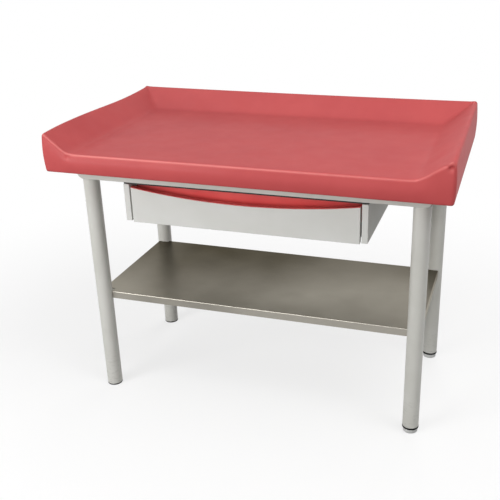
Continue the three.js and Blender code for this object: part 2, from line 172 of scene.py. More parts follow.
def with_sockets(tree, inputs, outputs, output_kind):
    """Gives a tree its named inputs, each with a value or a kind of socket, and its outputs."""
    for label, value in inputs.items():
        kind = value if isinstance(value, str) else SOCKETS[type(value)]
        socket = tree.interface.new_socket(name=label, in_out="INPUT",
                                           socket_type="NodeSocket" + kind)
        if kind != value:
            socket.default_value = value
    for label in outputs:
        tree.interface.new_socket(name=label, in_out="OUTPUT",
                                  socket_type="NodeSocket" + output_kind)
    return tree, put(tree, "NodeGroupInput").outputs, put(tree, "NodeGroupOutput").inputs


# ------------------------ shared effects

def effect(name, inputs, outputs=("Height", "Tone", "Gloss")):
    """A shader node group that reads a place, with named values."""
    return with_sockets(bpy.data.node_groups.new(name, "ShaderNodeTree"),
                        {"Vector": "Vector", **inputs}, outputs, "Float")


def leatherette_grain():
    """Pebbled grain of a coated cover: small cells with creases between them."""
    group, given, out = effect("leatherette_grain", {"Cell": 0.0011})
    place = given["Vector"]
    bent = put(group, "ShaderNodeTexNoise", {"Vector": place, "Scale": 260.0, "Detail": 1.0})
    offset = put(group, "ShaderNodeVectorMath",
                 {0: bent.outputs["Color"], 1: (0.0008, 0.0008, 0.0008), 2: place},
                 operation="MULTIPLY_ADD")
    cells = put(group, "ShaderNodeTexVoronoi",
                {"Vector": offset.outputs[0], "Scale": sums(group, "DIVIDE", 1.0, given["Cell"])},
                feature="DISTANCE_TO_EDGE")
    pebble = ranged(group, cells.outputs["Distance"], 0.0, 0.22, 0.0, 1.0)
    fine = cloudy(group, place, 0.0004)
    patches, stretch = cloudy(group, place, 0.16, 3.0), cloudy(group, place, 0.035)
    return feed(group, out, Height=sums(group, "MULTIPLY_ADD", fine, 0.25, pebble),
                Tone=ranged(group, blended(group, 0.25, patches, stretch), 0.3, 0.7, 0.0, 1.0),
                Gloss=cloudy(group, place, 0.06, 3.0))


def coat_peel():
    """Low orange peel of powder coat or moulded plastic, with a slow drift of tone."""
    group, given, out = effect("coat_peel", {"Peel": 0.0022})
    place = given["Vector"]
    peel, specks = cloudy(group, place, given["Peel"], 1.0), cloudy(group, place, 0.0006, 1.0)
    return feed(group, out, Height=blended(group, 0.2, peel, specks),
                Tone=ranged(group, cloudy(group, place, 0.12, 3.0), 0.3, 0.7, 0.0, 1.0),
                Gloss=cloudy(group, place, 0.03, 4.0, 0.6))


def brushed_lines():
    """Fine lines of a brushed sheet, long along X, and painted reflection: paler to the front and
    ends.
    """
    group, given, out = effect("brushed_lines", {"Line": 0.0006, "Drift Place": (1.3, 0.2, 0.0)})
    place = given["Vector"]
    lines = cloudy(group, mapped(group, place, Scale=(0.02, 1.0, 1.0)), given["Line"], 2.0, 0.7)
    drift = cloudy(group, mapped(group, place, Location=given["Drift Place"]), 0.45, 2.0, 0.45)
    cloud = ranged(group, blended(group, 0.8, lines, drift), 0.35, 0.65, 0.0, 0.25)
    # Painted reflection and shade: darker at the rear and middle, paler to the front and both ends
    front = ranged(group, along_way(group, place, (-0.15, 1.0, 0.0)), 0.16, -0.26, 0.0, 0.75)
    length = put(group, "ShaderNodeSeparateXYZ", {"Vector": place}).outputs["X"]
    left = ranged(group, length, -0.34, -0.47, 0.0, 0.22)
    right = ranged(group, length, -0.26, 0.44, -0.06, 0.34)
    painted_reflection = sums(group, "ADD", front, sums(group, "ADD", left, right))
    return feed(group, out, Height=lines, Tone=sums(group, "ADD", cloud, painted_reflection, clamp=True),
                Gloss=cloudy(group, place, 0.09, 4.0, 0.6))


def floor_scuffs():
    """Dull rubs near the floor, where shoes and mops touch."""
    group, given, out = effect("floor_scuffs", {"Reach": 0.16}, ("Rub",))
    height = put(group, "ShaderNodeSeparateXYZ", {"Vector": given["Vector"]}).outputs["Z"]
    low = sums(group, "SUBTRACT", 1.0, sums(group, "DIVIDE", height, given["Reach"]), clamp=True)
    streaked = mapped(group, given["Vector"], Scale=(1.0, 1.0, 3.0))
    patches = ranged(group, cloudy(group, streaked, 0.02, 5.0, 0.7), 0.52, 0.68, 0.0, 1.0)
    return feed(group, out, Rub=sums(group, "MULTIPLY", low, patches))


def board_grain():
    """Long grain of a rotary-cut veneer, drawn out along X."""
    group, given, out = effect("board_grain", {"Band": 0.014})
    drawn = mapped(group, given["Vector"], Scale=(0.12, 1.0, 1.0))
    bands = cloudy(group, drawn, given["Band"], 4.0, 0.62)
    fibres = cloudy(group, drawn, 0.0012)
    tone = ranged(group, blended(group, 0.3, bands, fibres), 0.35, 0.65, 0.0, 1.0)
    return feed(group, out, Height=fibres, Tone=tone, Gloss=bands)


EFFECTS = {maker.__name__: maker() for maker in
           (leatherette_grain, coat_peel, brushed_lines, floor_scuffs, board_grain)}


# ------------------------ finishes

SCUFF_COLOUR, SCUFF_SHARE, SCUFF_ROUGHNESS = linear(120, 116, 108), 0.35, 0.2
# How much less rough the cover is under its painted highlight
PAINTED_HIGHLIGHT_POLISH = 0.2


def emptied(owner):
    """The node tree of a material or world, with nothing in it."""
    owner.use_nodes = True
    owner.node_tree.nodes.clear()
    return owner.node_tree


def finish(name, grain, size, dark, light, roughness, depth, metallic=0.0, scuffed=False,
           painted_highlight=None, constants=None):
    """A surface finish: tone between two colours, varied roughness and a fine relief."""
    material = bpy.data.materials.new(name)
    tree = emptied(material)
    place = put(tree, "ShaderNodeTexCoord").outputs["Object"]
    texture = put(tree, "ShaderNodeGroup", {"Vector": place, 1: size},
                  node_tree=EFFECTS[grain]).outputs
    colour = tinted(tree, texture["Tone"], linear(*dark), linear(*light))
    rough = ranged(tree, texture["Gloss"], 0.25, 0.75, *roughness, smooth=False)
    if scuffed:
        scuffs_and_highlight = put(tree, "ShaderNodeGroup", {"Vector": place},
                  node_tree=EFFECTS["floor_scuffs"]).outputs["Rub"]
        colour = tinted(tree, sums(tree, "MULTIPLY", scuffs_and_highlight, SCUFF_SHARE), colour, SCUFF_COLOUR)
        rough = sums(tree, "MULTIPLY_ADD", scuffs_and_highlight, SCUFF_ROUGHNESS, rough)
    # Painted highlight: paler colour and less roughness where the mesh's attribute marks it
    if painted_highlight:
        ridge = put(tree, "ShaderNodeAttribute", attribute_name="painted_highlight").outputs["Fac"]
        colour = tinted(tree, ridge, colour, linear(*painted_highlight))
        rough = sums(tree, "SUBTRACT", rough, sums(tree, "MULTIPLY", ridge, PAINTED_HIGHLIGHT_POLISH))
    bump = put(tree, "ShaderNodeBump",
               {"Strength": depth[0], "Distance": depth[1], "Height": texture["Height"]})
    shader = put(tree, "ShaderNodeBsdfPrincipled",
                 {"Base Color": colour, "Roughness": rough, "Normal": bump.outputs["Normal"],
                  "Metallic": metallic, **(constants or {})})
    put(tree, "ShaderNodeOutputMaterial", {"Surface": shader.outputs[0]})
    return material


FINISH = {
    # The cover's paler line along its front edge is a painted highlight
    "cover": finish("red_leatherette", "leatherette_grain", 0.0012,
                    (184, 70, 71), (190, 75, 75), (0.60, 0.70), (0.16, 0.0003),
                    painted_highlight=(228, 134, 126),
                    constants={"Specular IOR Level": 0.33, "Coat Weight": 0.07,
                               "Coat Roughness": 0.14}),
    "paint": finish("grey_powder_coat", "coat_peel", 0.0022,
                    (201, 200, 193), (208, 207, 201), (0.34, 0.44), (0.12, 0.0003),
                    scuffed=True),
    "panel": finish("grey_coated_board", "coat_peel", 0.0016,
                    (213, 213, 208), (218, 218, 214), (0.5, 0.6), (0.10, 0.0002),
                    constants={"Specular IOR Level": 0.2}),
    # The brushed sheet's tone range carries painted reflection and shade
    "steel": finish("brushed_stainless", "brushed_lines", 0.0006,
                    (52, 48, 38), (156, 152, 143), (0.28, 0.40), (0.22, 0.0002),
                    metallic=1.0, constants={"Specular Tint": (0.70, 0.66, 0.58, 1.0)}),
    "black": finish("black_moulded_plastic", "coat_peel", 0.0012,
                    (9, 9, 9), (16, 16, 16), (0.5, 0.66), (0.15, 0.0002),
                    constants={"Specular IOR Level": 0.12}),
    "foot": finish("grey_moulded_plastic", "coat_peel", 0.0012,
                   (208, 208, 206), (218, 218, 216), (0.4, 0.55), (0.15, 0.0002)),
    # A lighter red than the cover: partly painted light that offsets the shade in the grip's
    # trough
    "grip": finish("red_moulded_plastic", "coat_peel", 0.0030,
                   (224, 78, 77), (230, 86, 83), (0.30, 0.40), (0.06, 0.0002)),
    # Near black: partly the sheet's colour, partly painted shade for the gap under the rail
    "hanger": finish("dark_sheet_and_gap_shade", "coat_peel", 0.0014,
                     (18, 17, 15), (27, 25, 23), (0.6, 0.75), (0.12, 0.0002)),
    "box": finish("white_coated_board", "coat_peel", 0.0012,
                  (222, 220, 214), (230, 228, 223), (0.4, 0.52), (0.08, 0.0002)),
    # Zinc toned darker than bright plating: partly painted shade for the runners seen in the gaps
    # beside the drawer front
    "zinc": finish("zinc_plate", "coat_peel", 0.0040,
                   (140, 142, 144), (172, 174, 176), (0.24, 0.4), (0.10, 0.0002), metallic=1.0),
    "board": finish("raw_plywood", "board_grain", 0.014,
                    (178, 148, 104), (206, 180, 138), (0.66, 0.8), (0.25, 0.0004)),
}


# ------------------------ mesh helpers

def shown(name, data):
    """Puts a mesh, a lamp or a camera into the scene."""
    thing = bpy.data.objects.new(name, data)
    bpy.context.scene.collection.objects.link(thing)
    return thing


def new_piece(name, vertices, faces, edges=()):
    mesh = bpy.data.meshes.new(name)
    mesh.from_pydata([tuple(v) for v in vertices], list(edges), faces)
    mesh.update()
    return shown(name, mesh)


def worked_piece(name, mesh):
    """Keeps an edited mesh as a piece."""
    piece = new_piece(name, [], [])
    mesh.to_mesh(piece.data)
    mesh.free()
    return piece


def plain_mesh(piece):
    """What a piece's modifiers make of it, as a mesh of its own."""
    bpy.context.view_layer.update()
    ready = piece.evaluated_get(bpy.context.evaluated_depsgraph_get())
    return bpy.data.meshes.new_from_object(ready)


def smooth(piece, angle=32):
    """Shades a piece smooth, but for its edges sharper than an angle in degrees."""
    mesh = piece.data
    mesh.polygons.foreach_set("use_smooth", [True] * len(mesh.polygons))
    mesh.set_sharp_from_angle(angle=math.radians(angle))
    mesh.update()
    return piece


def even(piece):
    """Keeps large faces flat in the light beside their rounded edges."""
    weights = piece.modifiers.new("even_light", "WEIGHTED_NORMAL")
    weights.mode, weights.weight, weights.keep_sharp = "FACE_AREA", 100, True
    return piece


def fit(piece, body, slot, *replaced):
    """Gives a piece its finish, its body and the solids that it stands for."""
    piece.data.materials.clear()
    piece.data.materials.append(FINISH[slot])
    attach(piece, body)
    if replaced:
        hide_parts(*replaced)
    return piece


def drawn_out(name, outline, axis, start, end, edge, rounds=3):
    """An outline drawn out along X or Y, with its sharp edges rounded."""
    mesh = bmesh.new()
    ends = [[mesh.verts.new((along, a, b) if axis == "X" else (a, along, b)) for a, b in outline]
            for along in (start, end)]
    mesh.faces.new(ends[0])
    mesh.faces.new(ends[1][::-1])
    count = len(outline)
    for i in range(count):
        j = (i + 1) % count
        mesh.faces.new([ends[0][i], ends[1][i], ends[1][j], ends[0][j]][::-1])
    bmesh.ops.recalc_face_normals(mesh, faces=mesh.faces)
    sharp = [e for e in mesh.edges if e.calc_face_angle(0) > math.radians(30)]
    bmesh.ops.bevel(mesh, geom=sharp, offset=edge, offset_type="OFFSET", segments=rounds,
                    profile=0.5, affect="EDGES", clamp_overlap=True)
    return even(smooth(worked_piece(name, mesh)))


def rectangle(a0, a1, b0, b1):
    return [(a0, b0), (a1, b0), (a1, b1), (a0, b1)]


def bar(name, low, high, edge):
    """A plain block between two corners with rounded edges."""
    return drawn_out(name, rectangle(low[0], high[0], low[2], high[2]), "Y", low[1], high[1], edge)


def arc(centre, radius, start, end, steps):
    """Points on an arc between two angles in degrees, both ends included."""
    angles = [math.radians(start + (end - start) * i / steps) for i in range(steps + 1)]
    return [(centre[0] + radius * math.cos(t), centre[1] + radius * math.sin(t)) for t in angles]


def ring(centre, radius, height, count):
    """Points of a level ring. Its radius may be a function of the angle."""
    points = []
    for k in range(count):
        angle = 2 * math.pi * k / count
        r = radius(angle) if callable(radius) else radius
        points.append((centre[0] + r * math.cos(angle), centre[1] + r * math.sin(angle), height))
    return points


def turned(name, profile, centre, sides=TUBE_SIDES):
    """A profile of (radius, height) pairs turned about an upright axis."""
    vertices, rings, faces = [], [], []
    for radius, height in profile:
        points = ring(centre, radius, height, sides if radius else 1)
        rings.append([len(vertices) + k % len(points) for k in range(sides)])
        vertices += points
    for lower, upper in zip(rings, rings[1:]):
        for k in range(sides):
            n = (k + 1) % sides
            corners = [lower[k], lower[n], upper[n], upper[k]]
            face = [c for i, c in enumerate(corners) if c != corners[i - 1]]
            if len(face) > 2:
                faces.append(face)
    return smooth(new_piece(name, vertices, faces))


def middle(node):
    """The middle of a solid's box."""
    low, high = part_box(node)
    return (low + high) / 2


# ------------------------ repeated pieces

def growth(name, inputs):
    """A geometry node tree with a geometry input and output, named inputs and a finish."""
    return with_sockets(bpy.data.node_groups.new(name, "GeometryNodeTree"),
                        {"Geometry": "Geometry", **inputs, "Finish": "Material"},
                        ("Geometry",), "Geometry")


def closing(tree, geometry, given, out):
    """Ends a tree in real mesh with its finish set."""
    real = put(tree, "GeometryNodeRealizeInstances", {"Geometry": geometry})
    dressed = put(tree, "GeometryNodeSetMaterial",
                  {"Geometry": real.outputs[0], "Material": given["Finish"]})
    return feed(tree, out, Geometry=dressed.outputs[0])


def swept(tree, curve, sides, radius):
    """A round section drawn along a curve, with closed ends."""
    shape = put(tree, "GeometryNodeCurvePrimitiveCircle", {"Resolution": sides, "Radius": radius})
    return put(tree, "GeometryNodeCurveToMesh",
               {"Curve": curve, "Profile Curve": shape.outputs[0], "Fill Caps": True}).outputs[0]


def spaced(tree, given):
    """Points at a spacing along the edges that a tree is given."""
    path = put(tree, "GeometryNodeMeshToCurve", {"Mesh": given["Geometry"]})
    return put(tree, "GeometryNodeCurveToPoints",
               {"Curve": path.outputs[0], "Length": given["Spacing"]}, mode="LENGTH").outputs


def chance(tree, given, low, high):
    """A seeded value of its own for each point."""
    return put(tree, "FunctionNodeRandomValue", {2: low, 3: high, "Seed": given["Seed"]},
               data_type="FLOAT").outputs[1]


def set_out(tree, points, pattern, rotation, turn):
    """A pattern's copies on points, each then turned about its own axis."""
    shape = put(tree, "GeometryNodeObjectInfo", {"Object": pattern}).outputs["Geometry"]
    placed = put(tree, "GeometryNodeInstanceOnPoints",
                 {"Points": points, "Instance": shape, "Rotation": rotation})
    spin = put(tree, "ShaderNodeCombineXYZ", {"Z": turn})
    return put(tree, "GeometryNodeRotateInstances",
               {"Instances": placed.outputs[0], "Rotation": spin.outputs[0]}).outputs[0]


def tube_tree():
    """A round tube between two points."""
    tree, given, out = growth("round_tube", {
        "From": "Vector", "To": "Vector", "Radius": LEG_RADIUS, "Sides": TUBE_SIDES})
    line = put(tree, "GeometryNodeCurvePrimitiveLine",
               {"Start": given["From"], "End": given["To"]})
    tube = swept(tree, line.outputs[0], given["Sides"], given["Radius"])
    return closing(tree, tube, given, out)


def weld_tree():
    """Overlapping ripples of a weld run, along the edges that it is given."""
    tree, given, out = growth("weld_run", {"Bead": 0.0022, "Spacing": 0.0016, "Seed": 7})
    ripple = put(tree, "GeometryNodeMeshUVSphere",
                 {"Segments": 8, "Rings": 5, "Radius": given["Bead"]})
    beads = put(tree, "GeometryNodeInstanceOnPoints",
                {"Points": spaced(tree, given)["Points"], "Instance": ripple.outputs["Mesh"],
                 "Scale": chance(tree, given, 0.85, 1.1)})
    rounded = put(tree, "GeometryNodeSetShadeSmooth", {"Geometry": beads.outputs[0]})
    return closing(tree, rounded.outputs[0], given, out)


def fixing_tree():
    """One fixing on each point, each turned by its own seeded angle about the head's axis."""
    tree, given, out = growth("fixings_on_points",
                              {"Head": "Object", "Tilt": "Vector", "Seed": 11})
    heads = set_out(tree, given["Geometry"], given["Head"], given["Tilt"],
                    chance(tree, given, 0.0, math.pi))
    return closing(tree, heads, given, out)


def staple_tree():
    """Staples set along an edge at a spacing, a little askew."""
    tree, given, out = growth("staple_row", {
        "Staple": "Object", "Spacing": 0.028, "Skew": 0.12, "Seed": 3})
    points = spaced(tree, given)
    along = put(tree, "FunctionNodeAlignRotationToVector", {"Vector": points["Tangent"]},
                axis="X")
    askew = chance(tree, given, sums(tree, "MULTIPLY", given["Skew"], -1.0), given["Skew"])
    staples = set_out(tree, points["Points"], given["Staple"], along.outputs[0], askew)
    return closing(tree, staples, given, out)


def thread_tree():
    """A helical ridge round an upright stud."""
    tree, given, out = growth("stud_thread", {
        "Foot": "Vector", "Radius": STUD_RADIUS, "Height": 0.03, "Turns": 20.0,
        "Ridge": 0.0006})
    spiral = put(tree, "GeometryNodeCurveSpiral",
                 {"Resolution": 24, "Rotations": given["Turns"], "Start Radius": given["Radius"],
                  "End Radius": given["Radius"], "Height": given["Height"]})
    moved = put(tree, "GeometryNodeSetPosition",
                {"Geometry": spiral.outputs[0], "Offset": given["Foot"]})
    return closing(tree, swept(tree, moved.outputs[0], 4, given["Ridge"]), given, out)


TREES = {"tube": tube_tree(), "weld": weld_tree(), "fixing": fixing_tree(),
         "staple": staple_tree(), "thread": thread_tree()}


def grown(name, tree, body, slot, values, vertices=((0, 0, 0),), edges=(), nodes=()):
    """Runs a tree on some points or edges and keeps what it makes as a plain mesh."""
    grower = new_piece(name + "_path", vertices, [], edges)
    modifier = grower.modifiers.new("grow", "NODES")
    modifier.node_group = TREES[tree]
    keys = {item.name: item.identifier for item in TREES[tree].interface.items_tree
            if item.in_out == "INPUT"}
    for label, value in {**values, "Finish": FINISH[slot]}.items():
        modifier[keys[label]] = value
    mesh = plain_mesh(grower)
    grower.modifiers.remove(modifier)
    bpy.data.objects.remove(grower)
    mesh.name = name
    return fit(smooth(shown(name, mesh)), body, slot, *nodes)


# ------------------------ upholstered top

def soft_max(a, b, softness):
    """The greater of two heights, with a soft turn where they meet."""
    return (a + b + math.hypot(a - b, softness)) / 2


def side_height(distance, base, rise):
    """Height of a raised side over the mattress, at a distance from its outer edge."""
    return rise * min((base - distance) / (base - EDGE_ROUND), 1)


def end_rise(across, wave, dip, front_drop):
    """Height of an end's crest from front (0) to rear (1): a slow wave, lower at the front."""
    front = max(1 - across / FRONT_DROP_SHARE, 0) ** 2
    rear = max(across / REAR_RISE_SHARE - REAR_RISE_START, 0) ** 2
    return (SIDE_RISE + wave * math.sin(2 * math.pi * across) - dip * math.sin(math.pi * across)
            - front_drop * front + REAR_EXTRA * rear)


def top_height(x, y, crown):
    """Height of the cover over the underside of the top."""
    along, across = x / PAD_LENGTH + 0.5, y / PAD_WIDTH + 0.5
    left = side_height(PAD_LENGTH / 2 + x, SLOPE_LEFT, end_rise(across, *LEFT_CREST))
    right = side_height(PAD_LENGTH / 2 - x, SLOPE_RIGHT, end_rise(across, *RIGHT_CREST))
    rear_rise = SIDE_RISE + REAR_EXTRA - REAR_DIP * math.sin(math.pi * along)
    rear = side_height(PAD_WIDTH / 2 - y, SLOPE_REAR, rear_rise)
    sides = soft_max(max(left, right), rear, MITRE_SOFTNESS) - MITRE_SOFTNESS / 4
    swell = crown * math.sin(math.pi * along) * math.sin(math.pi * across)
    return MATTRESS + soft_max(sides, 0, CREASE_SOFTNESS) + swell


def rows(size):
    """Places of the surface's rows across one direction, close at the rounded edges."""
    turns = [EDGE_ROUND * (1 - math.sin(math.radians(t))) for t in (90, 72, 54, 36, 18, 0)]
    fine = [EDGE_ROUND + FINE_STEP * i for i in range(1, round(FINE_REACH / FINE_STEP) + 1)]
    low = [d - size / 2 for d in turns + fine]
    count = round(-2 * low[-1] / PAD_STEP)
    inner = [low[-1] * (1 - 2 * i / count) for i in range(1, count)]
    return low + inner + [-place for place in low[::-1]]


def shoulder(x, y, crown):
    """A point of the top, drawn in at the rounded edges and corners, and its way outward."""
    over_x = max(abs(x) - PAD_LENGTH / 2 + EDGE_ROUND, 0)
    over_y = max(abs(y) - PAD_WIDTH / 2 + EDGE_ROUND, 0)
    reach, length = max(over_x, over_y), math.hypot(over_x, over_y)
    outward = Vector((math.copysign(over_x, x), math.copysign(over_y, y), 0))
    if length > 0:
        outward = outward / length
    start = Vector((math.copysign(abs(x) - over_x, x), math.copysign(abs(y) - over_y, y), 0))
    drop = EDGE_ROUND - math.sqrt(max(EDGE_ROUND ** 2 - reach ** 2, 0))
    point = start + outward * reach
    point.z = PAD_BOTTOM + top_height(x, y, crown) - drop
    return point, outward


def side_column(point, outward, bulge, levels=12):
    """Points down the side wall from the shoulder, round its lower edge and to the board."""
    column = []
    sag = SAG_LEFT + SAG_GROWTH * max(min(point.x / PAD_LENGTH + 0.5, 1), 0)
    foot = PAD_BOTTOM + UNDER_ROUND - sag
    for i in range(1, levels + 1):
        share = 1 - i / levels
        side = point + outward * bulge * math.sin(math.pi * share)
        side.z = foot + share * (point.z - foot)
        column.append(side)
    for t in (30, 60, 90):
        turn = math.radians(t)
        under = point - outward * UNDER_ROUND * (1 - math.cos(turn))
        under.z = foot - UNDER_ROUND * math.sin(turn)
        column.append(under)
    inner_x, inner_y = PAD_LENGTH / 2 - BOARD_INSET, PAD_WIDTH / 2 - BOARD_INSET
    lip = Vector((max(-inner_x, min(inner_x, point.x)), max(-inner_y, min(inner_y, point.y)),
                  PAD_BOTTOM - sag / 4))
    deep = lip.copy()
    deep.z += BOARD_THICKNESS
    return column + [lip, deep]


def grid_faces(index, xs, ys):
    """Faces between the rows of a grid, whose points are numbered by column and row."""
    return [(index[i, j], index[i + 1, j], index[i + 1, j + 1], index[i, j + 1])
            for j in range(len(ys) - 1) for i in range(len(xs) - 1)]


def underside(xs, ys, edge, vertices):
    """Faces that close the recess for the board, from its edge points inward."""
    share_x = 1 - 2 * BOARD_INSET / PAD_LENGTH
    share_y = 1 - 2 * BOARD_INSET / PAD_WIDTH
    index = dict(edge)
    for j in range(1, len(ys) - 1):
        for i in range(1, len(xs) - 1):
            index[i, j] = len(vertices)
            vertices.append(Vector((xs[i] * share_x, ys[j] * share_y,
                                    PAD_BOTTOM + BOARD_THICKNESS)))
    return [(a, d, c, b) for a, b, c, d in grid_faces(index, xs, ys)]


def pad_mesh(name, bulge, crown):
    """The closed surface of the top: cover, side walls and the recess for the board."""
    xs, ys = rows(PAD_LENGTH), rows(PAD_WIDTH)
    last_x, last_y = len(xs) - 1, len(ys) - 1
    grid = [[shoulder(x, y, crown) for x in xs] for y in ys]
    vertices = [point for row in grid for point, _ in row]
    index = {(i, j): j * len(xs) + i for j in range(len(ys)) for i in range(len(xs))}
    faces = grid_faces(index, xs, ys)
    loop = ([(i, 0) for i in range(last_x)] + [(last_x, j) for j in range(last_y)]
            + [(last_x - i, last_y) for i in range(last_x)]
            + [(0, last_y - j) for j in range(last_y)])
    upper = [index[place] for place in loop]
    columns = [side_column(*grid[j][i], bulge) for i, j in loop]
    for level in range(len(columns[0])):
        lower = list(range(len(vertices), len(vertices) + len(columns)))
        vertices += [column[level] for column in columns]
        for k in range(len(lower)):
            n = (k + 1) % len(lower)
            faces.append((upper[k], lower[k], lower[n], upper[n]))
        upper = lower
    faces += underside(xs, ys, dict(zip(loop, upper)), vertices)
    return new_piece(name, vertices, faces)


def crease_share(x, y):
    """How far a point of the top lies from the creases, 0 on one and 1 well away."""
    left, right = x + PAD_LENGTH / 2 - SLOPE_LEFT, PAD_LENGTH / 2 - SLOPE_RIGHT - x
    rear = PAD_WIDTH / 2 - SLOPE_REAR - y
    return min(min(abs(left), abs(right), abs(rear)) / CREASE_REACH, 1)


def inflate(pad, cap, frames=20):
    """Blows the cover up like stretched cloth over foam, and caps how far it may move."""
    held = pad.vertex_groups.new(name="held")
    inner_x, inner_y = PAD_LENGTH / 2 - BOARD_INSET / 2, PAD_WIDTH / 2 - BOARD_INSET / 2
    under = [v.index for v in pad.data.vertices if v.co.z < PAD_BOTTOM + BOARD_THICKNESS + 0.001
             and abs(v.co.x) < inner_x and abs(v.co.y) < inner_y]
    held.add(under, 1.0, "REPLACE")
    cloth = pad.modifiers.new("cover_pressure", "CLOTH")
    for key, value in {"quality": 4, "mass": 0.3, "tension_stiffness": 15,
                       "compression_stiffness": 15, "shear_stiffness": 8, "bending_stiffness": 4,
                       "use_pressure": True, "uniform_pressure_force": 4,
                       "vertex_group_mass": held.name, "pin_stiffness": 1}.items():
        setattr(cloth.settings, key, value)
    cloth.settings.effector_weights.gravity = 0
    cloth.collision_settings.use_collision = False
    cloth.point_cache.frame_start, cloth.point_cache.frame_end = 1, frames
    scene = bpy.context.scene
    for moment in range(1, frames + 1):
        scene.frame_set(moment)
    graph = bpy.context.evaluated_depsgraph_get()
    blown = [v.co.copy() for v in pad.evaluated_get(graph).data.vertices]
    pad.modifiers.remove(cloth)
    scene.frame_set(1)
    pad.vertex_groups.remove(held)
    for vertex, target in zip(pad.data.vertices, blown):
        move = target - vertex.co
        share = 1.0
        if vertex.co.z > CREASE_Z:
            share = 0.25 + 0.75 * crease_share(vertex.co.x, vertex.co.y)
        if move.length > 0:
            vertex.co += move * (cap * math.tanh(move.length / cap) / move.length) * share


def push(pad, place, radius, depth, direction):
    """Presses a soft dent, or with a negative depth lifts a small fold."""
    centre, way = Vector(place), Vector(direction).normalized()
    for vertex in pad.data.vertices:
        distance = (vertex.co - centre).length / radius
        if distance < 1:
            vertex.co += way * depth * (1 - distance ** 2) ** 2


def folds(pad):
    """Gathered points and tucks of the cover at the ends of its front edge."""
    push(pad, (0.556, PAD_FRONT + 0.004, CREST_Z - 0.020), 0.045, -0.0032, (0, 0.5, -1))
    push(pad, (0.589, PAD_FRONT + 0.003, CREST_Z - 0.009), 0.013, -0.0065, (0, 0.75, -0.65))
    push(pad, (0.590, PAD_FRONT, CREST_Z - 0.023), 0.010, 0.0055, (0, 1, 0.3))
    push(pad, (-0.522, PAD_FRONT + 0.002, CREASE_Z - 0.010), 0.012, 0.0020, (0, 1, 0))


def scuffs_and_highlight(pad):
    """Marks a painted highlight on the cover, a paler and glossier line: along its open front
    edge, less to the right and on the left slope, and on the gathered point at the right."""
    reach, gather_reach, slope_start, slope_turn = 0.016, 0.012, 0.50, 0.03
    gather = Vector((0.588, PAD_FRONT - 0.002, CREST_Z - 0.004))
    shares = []
    for vertex in pad.data.vertices:
        place, turn = vertex.co, vertex.normal
        ridge = 0.0
        if place.y < PAD_FRONT + reach and turn.z > 0.1:
            ridge = (2 * max(-turn.y, 0) * math.hypot(turn.x, turn.z)) ** 5
        fading = 0.64 - 0.44 * (place.x / PAD_LENGTH + 0.5)
        on_slope = min(1.0, max(0.0, (-place.x - slope_start) / slope_turn))
        gathered = max(0.0, 1 - (place - gather).length / gather_reach) * max(turn.z, 0)
        shares.append(min(1.0, ridge * fading * (1 - 0.4 * on_slope) + 0.7 * gathered))
    pad.data.attributes.new("painted_highlight", "FLOAT", "POINT").data.foreach_set("value", shares)


def upholstered_top():
    """The sewn and padded top."""
    pad = pad_mesh("upholstered_top", bulge=0.003, crown=0.001)
    inflate(pad, cap=0.0030)
    refine = pad.modifiers.new("fine_surface", "SUBSURF")
    refine.levels = refine.render_levels = 1
    mesh = plain_mesh(pad)
    pad.modifiers.clear()
    pad.data = mesh
    folds(pad)
    # Paints a highlight along the front edge and on the gathered point
    scuffs_and_highlight(pad)
    for vertex in pad.data.vertices:
        vertex.co.x += PAD_SHIFT
    smooth(pad, 75)
    fit(pad, "frame", "cover", "pad")


# ------------------------ frame and legs

def rail(name, outline, low, high, *nodes):
    """A tube whose outline is drawn out from front to rear, with rounded edges."""
    fit(drawn_out(name, outline, "Y", low.y, high.y, RAIL_ROUND, 4), "frame", "paint", *nodes)


def frame_rails():
    """Front and rear rails with rounded lower ends, then the side rails between them."""
    r = RAIL_END_ROUND
    for row in ROWS:
        nodes = [f"rail_{row}", f"rail_cap_{row}_right", f"rail_cap_{row}_left"]
        low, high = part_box(nodes[0])
        start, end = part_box(nodes[2])[0].x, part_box(nodes[1])[1].x
        outline = [(start, high.z), *arc((start + r, low.z + r), r, 180, 270, 10),
                   *arc((end - r, low.z + r), r, 270, 360, 10), (end, high.z)]
        rail(f"{row}_rail_tube", outline, low, high, *nodes)
    for end in ENDS:
        low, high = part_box(f"rail_{end}")
        rail(f"{end}_rail_tube", rectangle(low.x, high.x, low.z, high.z), low, high, f"rail_{end}")


def legs():
    """Four round tubes, each with a weld run where it meets its rail."""
    bead_out, count = 0.0004, 72
    edges = [(k, (k + 1) % count) for k in range(count)]
    for row in ROWS:
        for end in ENDS:
            node = f"leg_{row}_{end}"
            low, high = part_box(node)
            centre = middle(node)
            foot = low.z + (RIM_SHOWN if end == "right" else 0)
            grown(f"{row}_{end}_leg_tube", "tube", "frame", "paint",
                  {"From": (centre.x, centre.y, foot), "To": (centre.x, centre.y, high.z)},
                  nodes=(node,))
            points = ring(centre, LEG_RADIUS + bead_out, high.z - bead_out, count)
            grown(f"{row}_{end}_leg_weld", "weld", "frame", "paint",
                  {"Bead": 0.0016, "Spacing": 0.0022}, points, edges)


def left_plugs():
    """Black plugs with a rim, which the left legs stand on."""
    r, bore = LEG_RADIUS, LEG_RADIUS - 0.003
    for row in ROWS:
        node = f"plug_{row}_left"
        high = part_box(f"leg_{row}_left")[0].z
        rim = high - SEAT_GAP
        profile = [(0, 0), (r - 0.0022, 0), (r - 0.0008, 0.0005), (r, 0.0018), (r, high - 0.0012),
                   (r - 0.0006, rim), (bore, rim), (bore, high + 0.02), (0, high + 0.02)]
        fit(turned(f"{row}_left_plug_moulding", profile, middle(node)), "frame", "black", node)


